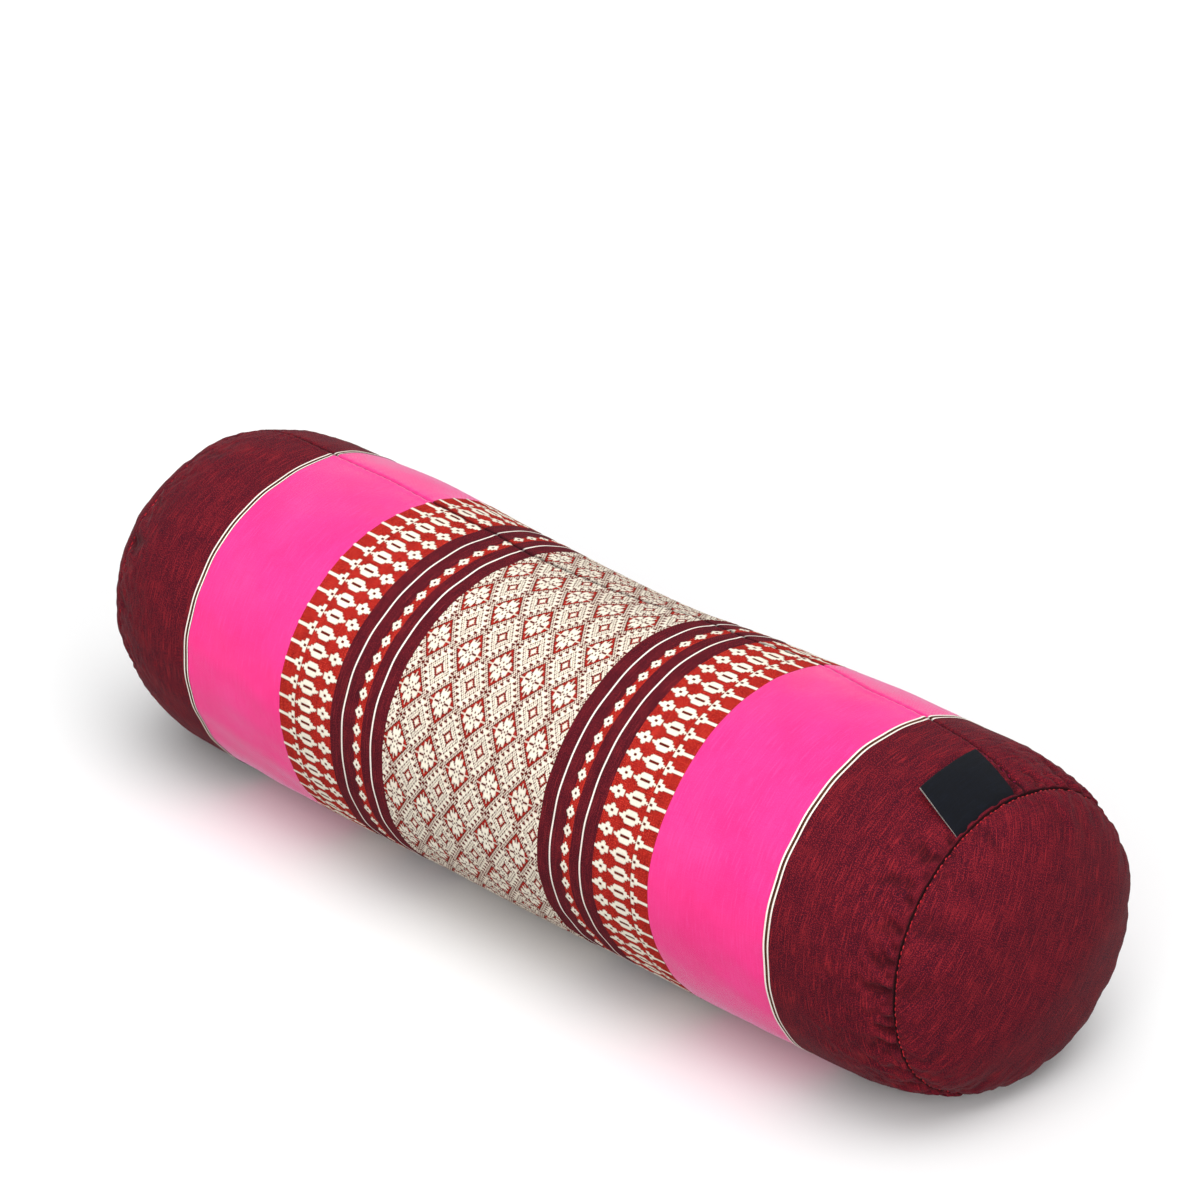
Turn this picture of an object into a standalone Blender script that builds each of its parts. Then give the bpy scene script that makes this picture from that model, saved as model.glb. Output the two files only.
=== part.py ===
"""Yoga bolster: a round kapok roll in a banded cotton cover, lying on its side.

Metres, +Z up. X runs along the roll, with the labelled end at +X. The floor is z = 0.
Every cloth piece is a sheet turned about the roll's own straight axis, given its thickness,
and then settled on the floor by one shared rule, so that all layers stay nested.
"""
import math

import bmesh
import bpy

# Bands of the cover, measured along the roll from its middle to each end
CENTRE_WIDTH = 0.092
STRIPE_WIDTH = 0.0315
MOTIF_WIDTH = 0.0305
PINK_WIDTH = 0.060
LINE_WIDTH = 0.003
SLEEVE_WIDTH = 0.0545
DISC_CROWN = 0.025

# Outer radius of the cover at the middle, the stripes, the pink crown, the line and the end seam
CENTRE_RADIUS = 0.0714
STRIPE_RADIUS = 0.0726
PINK_RADIUS = 0.0733
LINE_RADIUS = 0.0729
SEAM_RADIUS = 0.0632
SHOULDER_POWER = 3.7

# How the soft roll lies: wider than high, pressed flat below, and bowed a little to the front
SPREAD = 0.033
FOOT_DEPTH = 0.0025
BOW = 0.0048

# Gathers along the end seams
PUCKERS = 10
PUCKER_DEPTH = 0.0012
PUCKER_REACH = 0.014

# Cloth, thread and the gap that keeps neighbouring pieces apart
COVER_CLOTH = 0.0008
LINING_CLOTH = 0.0005
SEAM_ALLOWANCE = 0.006
DIP_STEEPNESS = 2.1
THREAD_RADIUS = 0.0003
END_THREAD_RADIUS = 0.00035
GAP = 0.0003
LAYER_GAP = 0.0005

# Side seam and label, placed by their angle round the roll, 90 degrees being the top
SIDE_SEAM_ANGLE = math.radians(76)
LABEL_ANGLE = math.radians(101)
LABEL_WIDTH = 0.033
LABEL_LENGTH = 0.023
LABEL_CLOTH = 0.0003
LABEL_LIFT = 0.0028
LABEL_FOLD = 0.0011

ROUND_STEPS = 40
DISC_RINGS = 5
THREAD_ROUNDING = 1

# Places along the roll that follow from the widths
X_CENTRE = CENTRE_WIDTH / 2
X_STRIPE = X_CENTRE + STRIPE_WIDTH
X_MOTIF = X_STRIPE + MOTIF_WIDTH
X_CROWN = X_MOTIF + PINK_WIDTH / 2
X_PINK = X_MOTIF + PINK_WIDTH
X_LINE = X_PINK + LINE_WIDTH
X_SEAM = X_LINE + SLEEVE_WIDTH

# Where along an end sleeve its rounded shoulder is given a ring of points
SLEEVE_SHARES = (0.0, 0.35, 0.62, 0.82, 1.0)

COLOURS = {
    "kapok": ((0.84, 0.78, 0.63), 1.0),
    "lining": ((0.86, 0.84, 0.78), 0.95),
    "cream": ((0.87, 0.80, 0.62), 0.9),
    "stripe": ((0.085, 0.012, 0.022), 0.9),
    "motif": ((0.50, 0.035, 0.022), 0.9),
    "pink": ((0.95, 0.045, 0.30), 0.85),
    "line": ((0.80, 0.70, 0.58), 0.9),
    "maroon": ((0.10, 0.012, 0.022), 0.9),
    "thread": ((0.30, 0.02, 0.03), 0.7),
    "label": ((0.012, 0.012, 0.014), 0.6),
}


def clear_scene():
    for obj in list(bpy.data.objects):
        bpy.data.objects.remove(obj, do_unlink=True)


def make_materials():
    materials = {}
    for name, (colour, roughness) in COLOURS.items():
        material = bpy.data.materials.new(name)
        material.use_nodes = True
        shader = material.node_tree.nodes["Principled BSDF"]
        shader.inputs["Base Color"].default_value = (*colour, 1.0)
        shader.inputs["Roughness"].default_value = roughness
        shader.inputs["Metallic"].default_value = 0.0
        materials[name] = material
    return materials


def ease(t):
    t = min(max(t, 0.0), 1.0)
    return (1 - math.cos(math.pi * t)) / 2


def skin_radius(x):
    """Outer radius of the unsettled cover at a place along the roll."""
    x = abs(x)
    if x >= X_SEAM:
        return SEAM_RADIUS * math.sqrt(max(0.0, 1 - ((x - X_SEAM) / DISC_CROWN) ** 2))
    if x >= X_LINE:
        fall = ((x - X_LINE) / SLEEVE_WIDTH) ** SHOULDER_POWER
        return SEAM_RADIUS + (LINE_RADIUS - SEAM_RADIUS) * (1 - fall)
    stations = [
        (0.0, CENTRE_RADIUS),
        (X_STRIPE, STRIPE_RADIUS),
        (X_CROWN, PINK_RADIUS),
        (X_LINE, LINE_RADIUS),
    ]
    for (x0, r0), (x1, r1) in zip(stations, stations[1:]):
        if x <= x1:
            return r0 + (r1 - r0) * ease((x - x0) / (x1 - x0))
    return LINE_RADIUS


def pucker(x, angle):
    """How far the gathers draw the cover in beside an end seam."""
    fade = 1 - ease(abs(abs(x) - X_SEAM) / PUCKER_REACH)
    return PUCKER_DEPTH * fade * (1 - math.cos(PUCKERS * angle)) / 2


def settled(x, angle, radius):
    """Place of a point of the roll once the roll lies on the floor.

    The depth below the skin decides how high above the floor a layer is pressed flat,
    so layers that are nested before settling stay nested after it.
    """
    depth = skin_radius(x) - radius
    radius -= pucker(x, angle) * min(1.0, radius / (SEAM_RADIUS / 2))
    y = radius * math.cos(angle) * (1 + SPREAD) - BOW * (1 - (x / X_SEAM) ** 2)
    axis_height = skin_radius(min(abs(x), X_LINE)) * (1 - SPREAD) - FOOT_DEPTH
    z = axis_height + radius * math.sin(angle) * (1 - SPREAD)
    return x, y, max(z, depth)


def settle_mesh(mesh):
    for vertex in mesh.vertices:
        x, y, z = vertex.co
        vertex.co = settled(x, math.atan2(z, y), math.hypot(y, z))


def finish_mesh(obj):
    """Apply the modifiers, turn the faces outward, settle the points and shade the cloth smooth."""
    bpy.context.view_layer.update()
    evaluated = obj.evaluated_get(bpy.context.evaluated_depsgraph_get())
    mesh = bpy.data.meshes.new_from_object(evaluated)
    obj.modifiers.clear()
    old_mesh = obj.data
    obj.data = mesh
    bpy.data.meshes.remove(old_mesh)
    mesh.name = obj.name
    work = bmesh.new()
    work.from_mesh(mesh)
    bmesh.ops.remove_doubles(work, verts=work.verts, dist=0.000001)
    bmesh.ops.recalc_face_normals(work, faces=work.faces)
    work.to_mesh(mesh)
    work.free()
    settle_mesh(mesh)
    mesh.shade_smooth()
    mesh.set_sharp_from_angle(angle=math.radians(50))


def turn(name, profile, parts, material, thickness=0.0, start=SIDE_SEAM_ANGLE, sweep=2 * math.pi,
         steps=ROUND_STEPS, offset=-1.0):
    """Turn an (x, radius) profile about the roll's axis, from the start angle through the sweep.

    The profile is given towards +X and drawn towards -X, so that the turned faces look outward.
    """
    mesh = bpy.data.meshes.new(name)
    points = [(x, radius * math.cos(start), radius * math.sin(start)) for x, radius in reversed(profile)]
    mesh.from_pydata(points, [(i, i + 1) for i in range(len(points) - 1)], [])
    obj = bpy.data.objects.new(name, mesh)
    parts.objects.link(obj)
    obj.data.materials.append(material)
    screw = obj.modifiers.new("Turn", "SCREW")
    screw.axis = "X"
    screw.angle = sweep
    screw.steps = steps
    screw.render_steps = steps
    screw.use_merge_vertices = True
    screw.merge_threshold = 0.00001
    if thickness:
        solidify = obj.modifiers.new("Cloth", "SOLIDIFY")
        solidify.thickness = thickness
        solidify.offset = offset
        solidify.use_even_offset = True
    finish_mesh(obj)
    return obj


def turn_cover(name, profile, parts, material):
    """A cover piece, open along the side seam by the thread and a gap on each side of it."""
    slit = 2 * (THREAD_RADIUS + GAP) / STRIPE_RADIUS
    start = SIDE_SEAM_ANGLE + slit / 2
    return turn(name, profile, parts, material, COVER_CLOTH, start, 2 * math.pi - slit)


def spaced(first, last, count):
    return [first + (last - first) * i / (count - 1) for i in range(count)]


def skin_profile(first, last, count):
    return [(x, skin_radius(x)) for x in spaced(first, last, count)]


def mirrored(profile, side):
    """The profile on the given side, always running towards +X so that its normals agree."""
    if side > 0:
        return profile
    return [(-x, radius) for x, radius in reversed(profile)]


def build_bands(parts, materials):
    """The woven bands between the two end sleeves."""
    half = X_CENTRE - GAP / 2
    turn_cover("centre_panel", skin_profile(-half, half, 3), parts, materials["cream"])
    bands = [
        ("stripe_band", X_CENTRE, X_STRIPE, 2, "stripe"),
        ("motif_band", X_STRIPE, X_MOTIF, 2, "motif"),
        ("pink_band", X_MOTIF, X_PINK, 3, "pink"),
        ("cream_line", X_PINK, X_LINE, 2, "line"),
    ]
    for band, first, last, count, colour in bands:
        for side, suffix in ((-1, "left"), (1, "right")):
            profile = mirrored(skin_profile(first + GAP / 2, last - GAP / 2, count), side)
            turn_cover(f"{band}_{suffix}", profile, parts, materials[colour])


def sleeve_profile():
    """The end sleeve from the cream line to the end seam, with its allowance turned in."""
    edge = X_SEAM - GAP / 2
    places = [X_LINE + GAP / 2 + (edge - X_LINE - GAP / 2) * share for share in SLEEVE_SHARES]
    return [(x, skin_radius(x)) for x in places] + [(edge, SEAM_RADIUS - SEAM_ALLOWANCE)]


def disc_profile(inset=0.0):
    """The domed disc from its rim to the middle, moved in below the skin by the inset."""
    profile = []
    for i in range(DISC_RINGS + 1):
        turn_angle = math.pi / 2 * i / DISC_RINGS
        x = X_SEAM + (DISC_CROWN - inset) * math.sin(turn_angle)
        profile.append((x, (SEAM_RADIUS - inset) * math.cos(turn_angle)))
    profile[-1] = (profile[-1][0], 0.0)
    return profile


def build_ends(parts, materials):
    """Both end sleeves and both end discs, their seam allowances lying together inside."""
    for side, suffix in ((-1, "left"), (1, "right")):
        turn_cover(f"end_sleeve_{suffix}", mirrored(sleeve_profile(), side), parts, materials["maroon"])
        edge = X_SEAM + GAP / 2
        dome = [(max(x, edge), radius) for x, radius in disc_profile()]
        profile = [(edge, SEAM_RADIUS - SEAM_ALLOWANCE)] + dome
        turn(f"end_disc_{suffix}", mirrored(profile, side), parts, materials["maroon"], COVER_CLOTH)


def bag_profile(inset):
    """Half of an inner layer, from the middle of the roll to the pole, dipping under the allowances."""
    tip = SEAM_RADIUS - SEAM_ALLOWANCE - COVER_CLOTH - DIP_STEEPNESS * inset
    places = [0.0, X_STRIPE, X_CROWN, X_PINK, X_LINE]
    places += [X_LINE + SLEEVE_WIDTH * share for share in SLEEVE_SHARES[1:-1]]
    tube = [(x, skin_radius(x) - inset) for x in places] + [(X_SEAM - GAP / 2, tip)]
    cap = [(X_SEAM + GAP / 2, tip)] + disc_profile(inset)[1:]
    return tube, cap


def build_inside(parts, materials):
    """The cotton bag that holds the filling, and the filling."""
    bag_inset = COVER_CLOTH + LAYER_GAP
    tube, cap = bag_profile(bag_inset)
    whole = [(-x, radius) for x, radius in reversed(tube[1:])] + tube
    turn("lining_tube", whole, parts, materials["lining"], LINING_CLOTH)
    for side, suffix in ((-1, "left"), (1, "right")):
        turn(f"lining_disc_{suffix}", mirrored(cap, side), parts, materials["lining"], LINING_CLOTH)
    tube, cap = bag_profile(bag_inset + LINING_CLOTH + LAYER_GAP)
    half = tube + cap
    whole = [(-x, radius) for x, radius in reversed(half[1:])] + half
    turn("kapok_fill", whole, parts, materials["kapok"])


def make_thread(name, points, closed, radius, parts, material):
    curve = bpy.data.curves.new(name, "CURVE")
    curve.dimensions = "3D"
    curve.bevel_depth = radius
    curve.bevel_resolution = THREAD_ROUNDING
    curve.use_fill_caps = not closed
    spline = curve.splines.new("POLY")
    spline.points.add(len(points) - 1)
    for point, place in zip(spline.points, points):
        point.co = (*place, 1.0)
    spline.use_cyclic_u = closed
    obj = bpy.data.objects.new(name, curve)
    parts.objects.link(obj)
    curve.materials.append(material)
    return obj


def build_threads(parts, materials):
    """The sewing thread in both end seams and along the side seam."""
    rise = (END_THREAD_RADIUS + GAP) * 1.25
    for side, suffix in ((-1, "left"), (1, "right")):
        angles = [SIDE_SEAM_ANGLE + 2 * math.pi * i / ROUND_STEPS for i in range(ROUND_STEPS)]
        ring = [settled(side * X_SEAM, angle, SEAM_RADIUS + rise) for angle in angles]
        make_thread(f"end_seam_thread_{suffix}", ring, True, END_THREAD_RADIUS, parts, materials["thread"])
    last = X_SEAM - END_THREAD_RADIUS - THREAD_RADIUS - 2 * GAP
    places = [X_CENTRE, X_STRIPE, X_MOTIF, X_CROWN, X_PINK]
    places += [X_LINE + SLEEVE_WIDTH * share for share in SLEEVE_SHARES[:-1]] + [last]
    places = [-x for x in reversed(places)] + [0.0] + places
    line = [settled(x, SIDE_SEAM_ANGLE, skin_radius(x) - COVER_CLOTH / 2) for x in places]
    make_thread("side_seam_thread", line, False, THREAD_RADIUS, parts, materials["thread"])


def build_label(parts, materials):
    """A woven loop label, folded once, rooted at the end seam and lying back on the sleeve."""
    root = X_SEAM - END_THREAD_RADIUS - 2 * GAP
    apart = LABEL_CLOTH + GAP
    under = []
    over = []
    for i in range(5):
        share = i / 4
        x = root - (LABEL_LENGTH - LABEL_FOLD / 2) * share
        height = skin_radius(x) + GAP + LABEL_CLOTH / 2 + LABEL_LIFT * ease(share)
        under.append((x, height))
        over.append((x, height + apart + (LABEL_FOLD - apart) * share))
    bend = (under[-1][0] - LABEL_FOLD / 2, (under[-1][1] + over[-1][1]) / 2)
    sweep = LABEL_WIDTH / (SEAM_RADIUS + apart)
    profile = over + [bend] + under[::-1]
    turn("label", profile, parts, materials["label"], LABEL_CLOTH, LABEL_ANGLE - sweep / 2, sweep, 8, 0.0)


def centre_on_origin(parts):
    """Move the bowed roll sideways, so that the origin lies midway between its front and its back."""
    sides = [vertex.co.y for obj in parts.objects if obj.type == "MESH" for vertex in obj.data.vertices]
    middle = (min(sides) + max(sides)) / 2
    for obj in parts.objects:
        obj.location.y = -middle


def main():
    clear_scene()
    materials = make_materials()
    parts = bpy.data.collections.new("yoga_bolster")
    bpy.context.scene.collection.children.link(parts)
    build_inside(parts, materials)
    build_bands(parts, materials)
    build_ends(parts, materials)
    build_threads(parts, materials)
    build_label(parts, materials)
    centre_on_origin(parts)


main()
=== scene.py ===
"""Looks of a round kapok yoga bolster in a banded cotton cover, lying on a pale floor.

Everything is in metres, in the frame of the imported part: X runs along the roll with the labelled
end at +X, +Z is up and the floor is z = 0. A place on the cover is given by how far along the roll
it is and by its angle round the roll, 0 at the back, 90 degrees on top and 180 at the front.
"""
import math

import bpy
import numpy as np
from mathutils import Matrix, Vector


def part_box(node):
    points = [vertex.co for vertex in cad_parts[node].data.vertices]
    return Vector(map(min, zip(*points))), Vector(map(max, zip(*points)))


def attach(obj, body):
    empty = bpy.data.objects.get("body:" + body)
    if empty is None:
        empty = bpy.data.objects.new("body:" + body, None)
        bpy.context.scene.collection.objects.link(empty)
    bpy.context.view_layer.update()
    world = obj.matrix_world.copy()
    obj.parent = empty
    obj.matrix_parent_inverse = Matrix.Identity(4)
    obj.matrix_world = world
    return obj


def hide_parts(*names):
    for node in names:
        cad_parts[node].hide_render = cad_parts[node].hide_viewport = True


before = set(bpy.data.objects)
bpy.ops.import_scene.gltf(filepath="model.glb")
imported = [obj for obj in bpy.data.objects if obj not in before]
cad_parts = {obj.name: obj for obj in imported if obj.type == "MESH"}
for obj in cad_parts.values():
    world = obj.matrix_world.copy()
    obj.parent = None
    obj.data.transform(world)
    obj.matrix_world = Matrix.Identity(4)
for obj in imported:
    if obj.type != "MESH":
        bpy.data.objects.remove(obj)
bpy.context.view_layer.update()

MM = 0.001

# Sizes of the part: half widths of the bands, radii of the skin, and how the soft roll lies
X_CENTRE = 0.046
X_STRIPE = 0.0775
X_MOTIF = 0.108
X_CROWN = 0.138
X_PINK = 0.168
X_LINE = 0.171
X_SEAM = 0.2255
DISC_CROWN = 0.025
CENTRE_RADIUS = 0.0714
STRIPE_RADIUS = 0.0726
PINK_RADIUS = 0.0733
LINE_RADIUS = 0.0729
SEAM_RADIUS = 0.0632
SHOULDER_POWER = 3.7
SPREAD = 0.033
FOOT_DEPTH = 0.0025
BOW = 0.0048
SEAM_ALLOWANCE = 0.006
CLOTH = 0.0008
STATIONS = [(0.0, CENTRE_RADIUS), (X_STRIPE, STRIPE_RADIUS), (X_CROWN, PINK_RADIUS), (X_LINE, LINE_RADIUS)]

# Looks alone: how the foot meets the floor, how far pattern yarn stands out, and how the rows lean
FOOT_LIFT = 0.00045
FOOT_SOFTNESS = 0.0012
YARN_LIFT = 0.00022
SHEAR = (0.00023, -0.0022)
ROW_SKEW = -0.21

low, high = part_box("end_seam_thread_right")
Y_SHIFT = (low.y + high.y) / 2


def ease(t):
    """A smooth step from 0 to 1."""
    return (1 - np.cos(np.pi * np.clip(t, 0, 1))) / 2


def stack(*parts):
    """Parts of one shape, side by side along a new last axis."""
    return np.stack(parts, -1)


def unit(vectors):
    return vectors / np.linalg.norm(vectors, axis=-1, keepdims=True)


def path_length(x, radius):
    return np.hypot(np.diff(x, prepend=x[0]), np.diff(radius, prepend=radius[0])).cumsum()


def turn_from(angle, centre):
    """How far round the roll from a centre, up to half a turn either way."""
    return np.remainder(angle - centre + np.pi, 2 * np.pi) - np.pi


def rounds(rows):
    """The angles of a closed ring of rows."""
    return np.arange(rows) * 2 * np.pi / rows


def next_rows(rows):
    return (np.arange(rows) + 1) % rows


def skin_radius(x):
    """Outer radius of the cover between the end seams, before the roll settles."""
    x = np.abs(np.asarray(x, float))
    radius = np.full(x.shape, LINE_RADIUS)
    for (x0, r0), (x1, r1) in reversed(list(zip(STATIONS, STATIONS[1:]))):
        radius = np.where(x <= x1, r0 + (r1 - r0) * ease((x - x0) / (x1 - x0)), radius)
    fall = np.clip((x - X_LINE) / (X_SEAM - X_LINE), 0, 1) ** SHOULDER_POWER
    return np.where(x > X_LINE, SEAM_RADIUS + (LINE_RADIUS - SEAM_RADIUS) * (1 - fall), radius)


def dome(turn):
    """Profile of an end disc, x and radius, from its seam at turn 0 to its pole at a right angle."""
    return X_SEAM + DISC_CROWN * np.sin(turn), SEAM_RADIUS * np.cos(turn)


def bell(angle, centre, width):
    """A smooth hump round the roll, centre and width in degrees."""
    width = math.radians(width)
    return np.exp((np.cos(angle - math.radians(centre)) - 1) / width ** 2)


# Where the bands of each half stray: places from the middle in mm, and the share of the stray there
STRAY_LEFT = ([0, 25, 50, 72, 107, 170, 225], [0, 0.3, 1, 0.9, 0.2, -0.2, 0])
STRAY_RIGHT = ([0, 50, 72, 107, 167, 225], [0, 1, 0.95, 0.65, 0.6, 0])


def wander(x, angle):
    """How far the bands stray along the roll, because the cloth was sewn by hand."""
    place = np.abs(x) / MM
    left = np.interp(place, *STRAY_LEFT) * (3.7 * bell(angle, 97, 26) + 1.5 * bell(angle, 192, 16))
    right = np.interp(place, *STRAY_RIGHT) * -2.6 * bell(angle, 100, 20)
    return np.where(x < 0, left, right) * MM


# The side seam: places along the roll, and its angle there
SEAM_PLACES = np.array([-226, -66, -45, 46, 72, 98, 112, 138, 170, 193, 204, 227]) * MM
SEAM_ANGLES = np.radians([79, 79, 80.5, 72.5, 75, 70.5, 70.8, 75.5, 75.5, 78.5, 80.2, 82])


def seam_angle(x):
    return np.interp(x, SEAM_PLACES, SEAM_ANGLES)


def waves(seed, count, size, most_rounds, length):
    """A smooth random swell over the roll, from waves that close round it."""
    draw = np.random.default_rng(seed)
    around = draw.integers(0, most_rounds + 1, count)
    along = draw.normal(0, 1 / length, count)
    phase = draw.uniform(0, 2 * np.pi, count)
    share = draw.uniform(0.5, 1.0, count)
    share *= size / np.sqrt((share ** 2).sum() / 2)

    def swell(x, angle):
        return sum(a * np.cos(m * angle + k * x + p) for m, k, p, a in zip(around, along, phase, share))
    return swell


lumps = waves(11, 16, 0.00045, 7, 0.030)
ripples = waves(12, 24, 0.00012, 26, 0.009)


def dome_lumps(y, z):
    """The same kind of swell over the flat of an end disc."""
    draw = np.random.default_rng(13)
    total = 0.0
    for size in (0.0005, 0.0003, 0.0003, 0.0002, 0.0002):
        ky, kz = draw.normal(0, 1 / 0.026, 2)
        total = total + size * np.cos(ky * y + kz * z + draw.uniform(0, 2 * np.pi))
    return total


def seam_arc(x, angle, radius):
    """Distance round the roll from the side seam, positive towards the front."""
    return turn_from(angle, seam_angle(x)) * radius


# The side seam's valley, the ridge in front of it, its small gathers, and how wide the painted shade in its
# crease is
VALLEY_DEPTH, VALLEY_WIDTH = 0.0012, 0.0007
RIDGE_HEIGHT, RIDGE_PLACE, RIDGE_WIDTH = 0.0003, 0.0022, 0.0015
GATHER_DEPTH, GATHER_REACH, GATHER_PITCH = 0.00015, 0.004, 0.0052
CREASE_SHADE_WOVEN, CREASE_SHADE_PLAIN = 0.0013, 0.0007


def side_seam_depth(x, angle, radius):
    """The side seam: a narrow valley behind a soft ridge, drawn into small gathers."""
    arc = seam_arc(x, angle, radius)
    valley = VALLEY_DEPTH * np.exp(-(np.abs(arc) / VALLEY_WIDTH) ** 1.3)
    ridge = -RIDGE_HEIGHT * np.exp(-((arc - RIDGE_PLACE) / RIDGE_WIDTH) ** 2)
    gather = GATHER_DEPTH * np.exp(-np.abs(arc) / GATHER_REACH)
    return valley + ridge + gather * np.cos(2 * np.pi * x / GATHER_PITCH + 3 * np.sin(x * 90))


def side_crease_shade(x, angle, radius):
    """How deep in the crease of the side seam a place is, from 0 to 1, which sets its painted shade."""
    width = np.where(np.abs(x) < X_MOTIF, CREASE_SHADE_WOVEN, CREASE_SHADE_PLAIN)
    return np.exp(-(seam_arc(x, angle, radius) / width) ** 2)


def settle(x, angle, radius, skin):
    """Place of points of the roll once it lies on the floor, as an array of (x, y, z)."""
    y = radius * np.cos(angle) * (1 + SPREAD) - BOW * (1 - (x / X_SEAM) ** 2) + Y_SHIFT
    axis_height = skin_radius(np.minimum(np.abs(x), X_LINE)) * (1 - SPREAD) - FOOT_DEPTH
    z = axis_height + radius * np.sin(angle) * (1 - SPREAD)
    floor = FOOT_LIFT + (skin - radius)
    z = (z + floor + np.sqrt((z - floor) ** 2 + FOOT_SOFTNESS ** 2)) / 2
    shear = radius / CENTRE_RADIUS
    x = x + shear * (SHEAR[0] * np.cos(angle) + SHEAR[1] * np.sin(angle))
    return np.stack(np.broadcast_arrays(x, y, z), -1)


SEAM_JOG = 0.0017
JOG_REACH = math.radians(9)
JOG_END = 0.12


def tube_places(along, rows):
    """Place, angle and skin radius of a band's points, where its cloth strays and jogs at the seam."""
    x = np.asarray(along, float)[:, None]
    angle = rounds(rows) + ROW_SKEW * x
    place = x + wander(x, angle)
    away = seam_arc(place, angle, 1.0)
    late = np.where(away > 0, np.exp(-away / JOG_REACH), 0.0)
    place = place + SEAM_JOG * late * np.clip((JOG_END - np.abs(x)) / 0.02, 0, 1)
    return place, angle, skin_radius(x)


def tube_points(along, rows, lift=0.0, inset=0.0):
    """Points of a band: one ring of rows at each place along the roll."""
    place, angle, skin = tube_places(along, rows)
    swell = lumps(place, angle)
    radius = skin - inset + lift + swell + ripples(place, angle) - side_seam_depth(place, angle, skin)
    return settle(place, angle, radius, skin + swell)


# Pleats beside the end seams: angle in degrees, depth, width and reach in mm, share of it on the disc
PLEATS = {
    1: [
        (175.2, 2.3, 1.5, 9, 0.06), (188.5, 2.6, 3.6, 3.2, 0.05), (192.5, 2.2, 1.7, 8, 0.05),
        (182, 1.0, 1.3, 7, 0.2), (199, 1.3, 2.4, 15, 0.1), (168, 0.7, 1.4, 8, 0.2), (152, 0.5, 1.2, 6, 0.4),
        (118, 0.8, 1.0, 5, 0.9), (122, 0.9, 1.1, 6, 1.0), (126, 0.9, 1.0, 5, 1.0), (130, 0.9, 1.1, 6, 0.9),
        (134.5, 0.7, 1.2, 5, 0.8), (139, 0.5, 1.2, 6, 0.6), (84, 0.8, 1.6, 8, 0.6), (77, 0.7, 1.4, 7, 0.6),
    ],
    -1: [
        (148, 1.6, 2.2, 9, 0.5), (130, 0.8, 2.6, 12, 0.5), (72, 0.9, 3.4, 12, 0.3), (104, 0.7, 1.8, 9, 0.4),
    ],
}


def pleat_depth(side, disc, away, angle):
    """Depth of the pleats at a distance from the end seam, on the disc or on the sleeve."""
    total = 0.0
    for centre, depth, width, reach, outer in PLEATS[side]:
        depth, width, reach = depth * MM, width * MM, reach * MM
        if disc:
            depth, reach = depth * outer, reach * 0.7
        arc = turn_from(angle, math.radians(centre)) * SEAM_RADIUS
        fade = np.exp(-(away / reach) ** 1.5) * np.clip(away / 0.0010, 0.3, 1)
        total = total + depth * fade * np.exp(-(arc / (width * (1 + away / 0.012))) ** 2)
    return total


GROOVE_DEPTH = 0.0012
GROOVE_WIDTH = 0.0006
SEAM_GAP = 0.10 * MM
POLE_GAP = 0.006

# How the filling swells an end piece beside the groove: height and reach, on the disc and on the sleeve
FILL = {True: (0.0007, 0.010), False: (0.0016, 0.008)}

# A fold this deep gets this share of painted shade, and a groove gets painted shade within this width
HOLLOW_DEPTH = 0.0016
HOLLOW_SHADE = 0.6
GROOVE_SHADE_WIDTH = 0.00055

# Distances of the sleeve's last rings from the seam, and the disc's fine and coarse turns from it
SLEEVE_FINE = np.array([2.5, 2.0, 1.6, 1.25, 0.95, 0.7, 0.5, 0.34, 0.22, 0.12]) * MM
DISC_TURNS = np.concatenate([np.linspace(0, 0.045, 11), np.linspace(0.045, np.pi / 2 - POLE_GAP, 56)[1:]])


def end_profile(disc, inset=0.0):
    """Half profile of an end piece of the cover at +X: x, radius, normal and distance to the seam."""
    if disc:
        x, radius = dome(DISC_TURNS)
        normal = stack(np.sin(DISC_TURNS) / DISC_CROWN, np.cos(DISC_TURNS) / SEAM_RADIUS)
    else:
        x = np.concatenate([np.linspace(X_LINE, X_SEAM - 3 * MM, 52), X_SEAM - SLEEVE_FINE])
        radius = skin_radius(x)
        normal = stack(-np.gradient(radius, x), np.ones_like(x))
    normal = unit(normal)
    away = path_length(x, radius)
    if not disc:
        away = away[-1] - away + SLEEVE_FINE[-1]
    rise, reach = FILL[disc]
    drop = GROOVE_DEPTH * np.exp(-away / GROOVE_WIDTH) - rise * np.exp(-away / reach) + inset
    x = x - normal[:, 0] * drop
    radius = radius - normal[:, 1] * drop
    x = np.maximum(x, X_SEAM + SEAM_GAP) if disc else np.minimum(x, X_SEAM - SEAM_GAP)
    return x, radius, normal, away


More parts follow.
